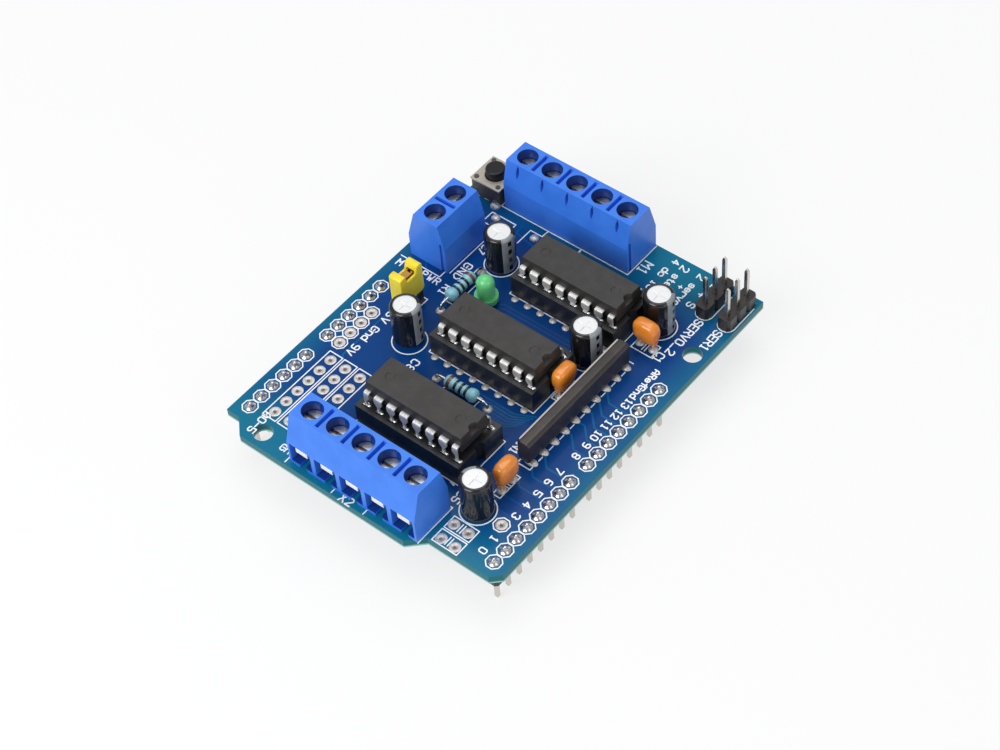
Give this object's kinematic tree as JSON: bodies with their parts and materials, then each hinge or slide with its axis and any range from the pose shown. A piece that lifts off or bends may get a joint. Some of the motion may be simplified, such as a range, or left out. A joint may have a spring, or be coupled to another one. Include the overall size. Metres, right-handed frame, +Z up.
{
  "type": "dc motor driver module",
  "caption": "Stackable blue motor driver board with socketed driver chips, screw terminals, servo pin rows, reset button and power jumper.",
  "frame": {"origin": "middle of the board's 68.58 by 53.34 mm rectangle in plan, at the level of the pin tips below the board", "axes": "+X along the board's long side towards the edge with the cut corners, +Y towards the long row of sixteen pins, +Z up out of the component side"},
  "size_m": [0.0686, 0.0534, 0.0189],
  "materials": {
    "solder_mask": "glossy blue solder mask over glass fibre",
    "header_plastic": "moulded black nylon",
    "pin_metal": "tinned square brass wire",
    "cap_plastic": "moulded yellow plastic",
    "spring_metal": "folded spring bronze",
    "terminal_plastic": "moulded blue polyamide",
    "contact_metal": "tinned contact strip",
    "screw_metal": "zinc plated steel",
    "cage_metal": "plated folded steel",
    "chip_plastic": "moulded dark grey epoxy",
    "lead_metal": "tinned lead frame",
    "socket_plastic": "moulded black polyester",
    "button_plastic": "moulded dark plastic",
    "cover_metal": "stamped plated sheet",
    "plunger_plastic": "moulded black plastic",
    "can_metal": "drawn aluminium",
    "sleeve_film": "shrunk printed film",
    "bung_rubber": "moulded rubber",
    "ceramic_coat": "dipped resin coat",
    "resistor_coat": "light blue lacquer with colour bands",
    "network_coat": "dipped dark resin",
    "lamp_resin": "clear green epoxy"
  },
  "bodies": {
    "root": {"board": "solder_mask", "header_strips": "header_plastic", "header_pins": "pin_metal", "servo_headers": "header_plastic", "servo_pins": "pin_metal", "jumper_header": "header_plastic", "jumper_pins": "pin_metal", "motor_terminal_left": "terminal_plastic", "motor_terminal_right": "terminal_plastic", "power_terminal": "terminal_plastic", "terminal_contacts": "contact_metal", "driver_chip_left": "chip_plastic", "logic_chip": "chip_plastic", "driver_chip_right": "chip_plastic", "chip_leads": "lead_metal", "chip_sockets": "socket_plastic", "socket_contacts": "lead_metal", "reset_base": "button_plastic", "reset_cover": "cover_metal", "reset_dome": "spring_metal", "reset_legs": "lead_metal", "capacitor_cans": "can_metal", "capacitor_sleeves": "sleeve_film", "capacitor_bungs": "bung_rubber", "capacitor_leads": "lead_metal", "ceramic_bodies": "ceramic_coat", "ceramic_leads": "lead_metal", "resistor_bodies": "resistor_coat", "resistor_leads": "lead_metal", "resistor_network": "network_coat", "network_leads": "lead_metal", "lamp_lens": "lamp_resin", "lamp_leads": "lead_metal"},
    "reset_plunger": {"reset_plunger": "plunger_plastic"},
    "jumper": {"jumper_cap": "cap_plastic", "jumper_contact": "spring_metal"},
    "screw_1": {"clamp_screw_1": "screw_metal"},
    "cage_1": {"clamp_cage_1": "cage_metal"},
    "screw_2": {"clamp_screw_2": "screw_metal"},
    "cage_2": {"clamp_cage_2": "cage_metal"},
    "screw_3": {"clamp_screw_3": "screw_metal"},
    "cage_3": {"clamp_cage_3": "cage_metal"},
    "screw_4": {"clamp_screw_4": "screw_metal"},
    "cage_4": {"clamp_cage_4": "cage_metal"},
    "screw_5": {"clamp_screw_5": "screw_metal"},
    "cage_5": {"clamp_cage_5": "cage_metal"},
    "screw_6": {"clamp_screw_6": "screw_metal"},
    "cage_6": {"clamp_cage_6": "cage_metal"},
    "screw_7": {"clamp_screw_7": "screw_metal"},
    "cage_7": {"clamp_cage_7": "cage_metal"},
    "screw_8": {"clamp_screw_8": "screw_metal"},
    "cage_8": {"clamp_cage_8": "cage_metal"},
    "screw_9": {"clamp_screw_9": "screw_metal"},
    "cage_9": {"clamp_cage_9": "cage_metal"},
    "screw_10": {"clamp_screw_10": "screw_metal"},
    "cage_10": {"clamp_cage_10": "cage_metal"},
    "screw_11": {"clamp_screw_11": "screw_metal"},
    "cage_11": {"clamp_cage_11": "cage_metal"},
    "screw_12": {"clamp_screw_12": "screw_metal"},
    "cage_12": {"clamp_cage_12": "cage_metal"}
  },
  "joints": [
    {"name": "screw_1_turn", "type": "hinge", "parent": "root", "child": "screw_1", "pos_m": [-0.03016, 0.00342, 0.0175], "axis": [0, 0, 1], "range_deg": [-1170.1, 0]},
    {"name": "cage_1_rise", "type": "slide", "parent": "root", "child": "cage_1", "axis": [0, 0, 1], "range_m": [0, 0.00162]},
    {"name": "screw_2_turn", "type": "hinge", "parent": "root", "child": "screw_2", "pos_m": [-0.03016, -0.00158, 0.0175], "axis": [0, 0, 1], "range_deg": [-1170.1, 0]},
    {"name": "cage_2_rise", "type": "slide", "parent": "root", "child": "cage_2", "axis": [0, 0, 1], "range_m": [0, 0.00162]},
    {"name": "screw_3_turn", "type": "hinge", "parent": "root", "child": "screw_3", "pos_m": [-0.03016, -0.00658, 0.0175], "axis": [0, 0, 1], "range_deg": [-1170.1, 0]},
    {"name": "cage_3_rise", "type": "slide", "parent": "root", "child": "cage_3", "axis": [0, 0, 1], "range_m": [0, 0.00162]},
    {"name": "screw_4_turn", "type": "hinge", "parent": "root", "child": "screw_4", "pos_m": [-0.03016, -0.01158, 0.0175], "axis": [0, 0, 1], "range_deg": [-1170.1, 0]},
    {"name": "cage_4_rise", "type": "slide", "parent": "root", "child": "cage_4", "axis": [0, 0, 1], "range_m": [0, 0.00162]},
    {"name": "screw_5_turn", "type": "hinge", "parent": "root", "child": "screw_5", "pos_m": [-0.03016, -0.01658, 0.0175], "axis": [0, 0, 1], "range_deg": [-1170.1, 0]},
    {"name": "cage_5_rise", "type": "slide", "parent": "root", "child": "cage_5", "axis": [0, 0, 1], "range_m": [0, 0.00162]},
    {"name": "screw_6_turn", "type": "hinge", "parent": "root", "child": "screw_6", "pos_m": [0.02927, -0.00949, 0.0175], "axis": [0, 0, 1], "range_deg": [-1170.1, 0]},
    {"name": "cage_6_rise", "type": "slide", "parent": "root", "child": "cage_6", "axis": [0, 0, 1], "range_m": [0, 0.00162]},
    {"name": "screw_7_turn", "type": "hinge", "parent": "root", "child": "screw_7", "pos_m": [0.02927, -0.00449, 0.0175], "axis": [0, 0, 1], "range_deg": [-1170.1, 0]},
    {"name": "cage_7_rise", "type": "slide", "parent": "root", "child": "cage_7", "axis": [0, 0, 1], "range_m": [0, 0.00162]},
    {"name": "screw_8_turn", "type": "hinge", "parent": "root", "child": "screw_8", "pos_m": [0.02927, 0.00051, 0.0175], "axis": [0, 0, 1], "range_deg": [-1170.1, 0]},
    {"name": "cage_8_rise", "type": "slide", "parent": "root", "child": "cage_8", "axis": [0, 0, 1], "range_m": [0, 0.00162]},
    {"name": "screw_9_turn", "type": "hinge", "parent": "root", "child": "screw_9", "pos_m": [0.02927, 0.00551, 0.0175], "axis": [0, 0, 1], "range_deg": [-1170.1, 0]},
    {"name": "cage_9_rise", "type": "slide", "parent": "root", "child": "cage_9", "axis": [0, 0, 1], "range_m": [0, 0.00162]},
    {"name": "screw_10_turn", "type": "hinge", "parent": "root", "child": "screw_10", "pos_m": [0.02927, 0.01051, 0.0175], "axis": [0, 0, 1], "range_deg": [-1170.1, 0]},
    {"name": "cage_10_rise", "type": "slide", "parent": "root", "child": "cage_10", "axis": [0, 0, 1], "range_m": [0, 0.00162]},
    {"name": "screw_11_turn", "type": "hinge", "parent": "root", "child": "screw_11", "pos_m": [-0.01711, -0.02089, 0.0175], "axis": [0, 0, 1], "range_deg": [-1170.1, 0]},
    {"name": "cage_11_rise", "type": "slide", "parent": "root", "child": "cage_11", "axis": [0, 0, 1], "range_m": [0, 0.00162]},
    {"name": "screw_12_turn", "type": "hinge", "parent": "root", "child": "screw_12", "pos_m": [-0.01211, -0.02089, 0.0175], "axis": [0, 0, 1], "range_deg": [-1170.1, 0]},
    {"name": "cage_12_rise", "type": "slide", "parent": "root", "child": "cage_12", "axis": [0, 0, 1], "range_m": [0, 0.00162]},
    {"name": "reset_press", "type": "slide", "parent": "root", "child": "reset_plunger", "axis": [0, 0, -1], "range_m": [0, 0.00025], "stiffness_N_per_m": 6400},
    {"name": "jumper_pull", "type": "slide", "parent": "root", "child": "jumper", "axis": [0, 0, 1], "range_m": [0, 0.008]}
  ],
  "couplings": [
    {"joint": "screw_1_turn", "follows": "cage_1_rise", "rad_per_m": -12566},
    {"joint": "screw_2_turn", "follows": "cage_2_rise", "rad_per_m": -12566},
    {"joint": "screw_3_turn", "follows": "cage_3_rise", "rad_per_m": -12566},
    {"joint": "screw_4_turn", "follows": "cage_4_rise", "rad_per_m": -12566},
    {"joint": "screw_5_turn", "follows": "cage_5_rise", "rad_per_m": -12566},
    {"joint": "screw_6_turn", "follows": "cage_6_rise", "rad_per_m": -12566},
    {"joint": "screw_7_turn", "follows": "cage_7_rise", "rad_per_m": -12566},
    {"joint": "screw_8_turn", "follows": "cage_8_rise", "rad_per_m": -12566},
    {"joint": "screw_9_turn", "follows": "cage_9_rise", "rad_per_m": -12566},
    {"joint": "screw_10_turn", "follows": "cage_10_rise", "rad_per_m": -12566},
    {"joint": "screw_11_turn", "follows": "cage_11_rise", "rad_per_m": -12566},
    {"joint": "screw_12_turn", "follows": "cage_12_rise", "rad_per_m": -12566}
  ]
}
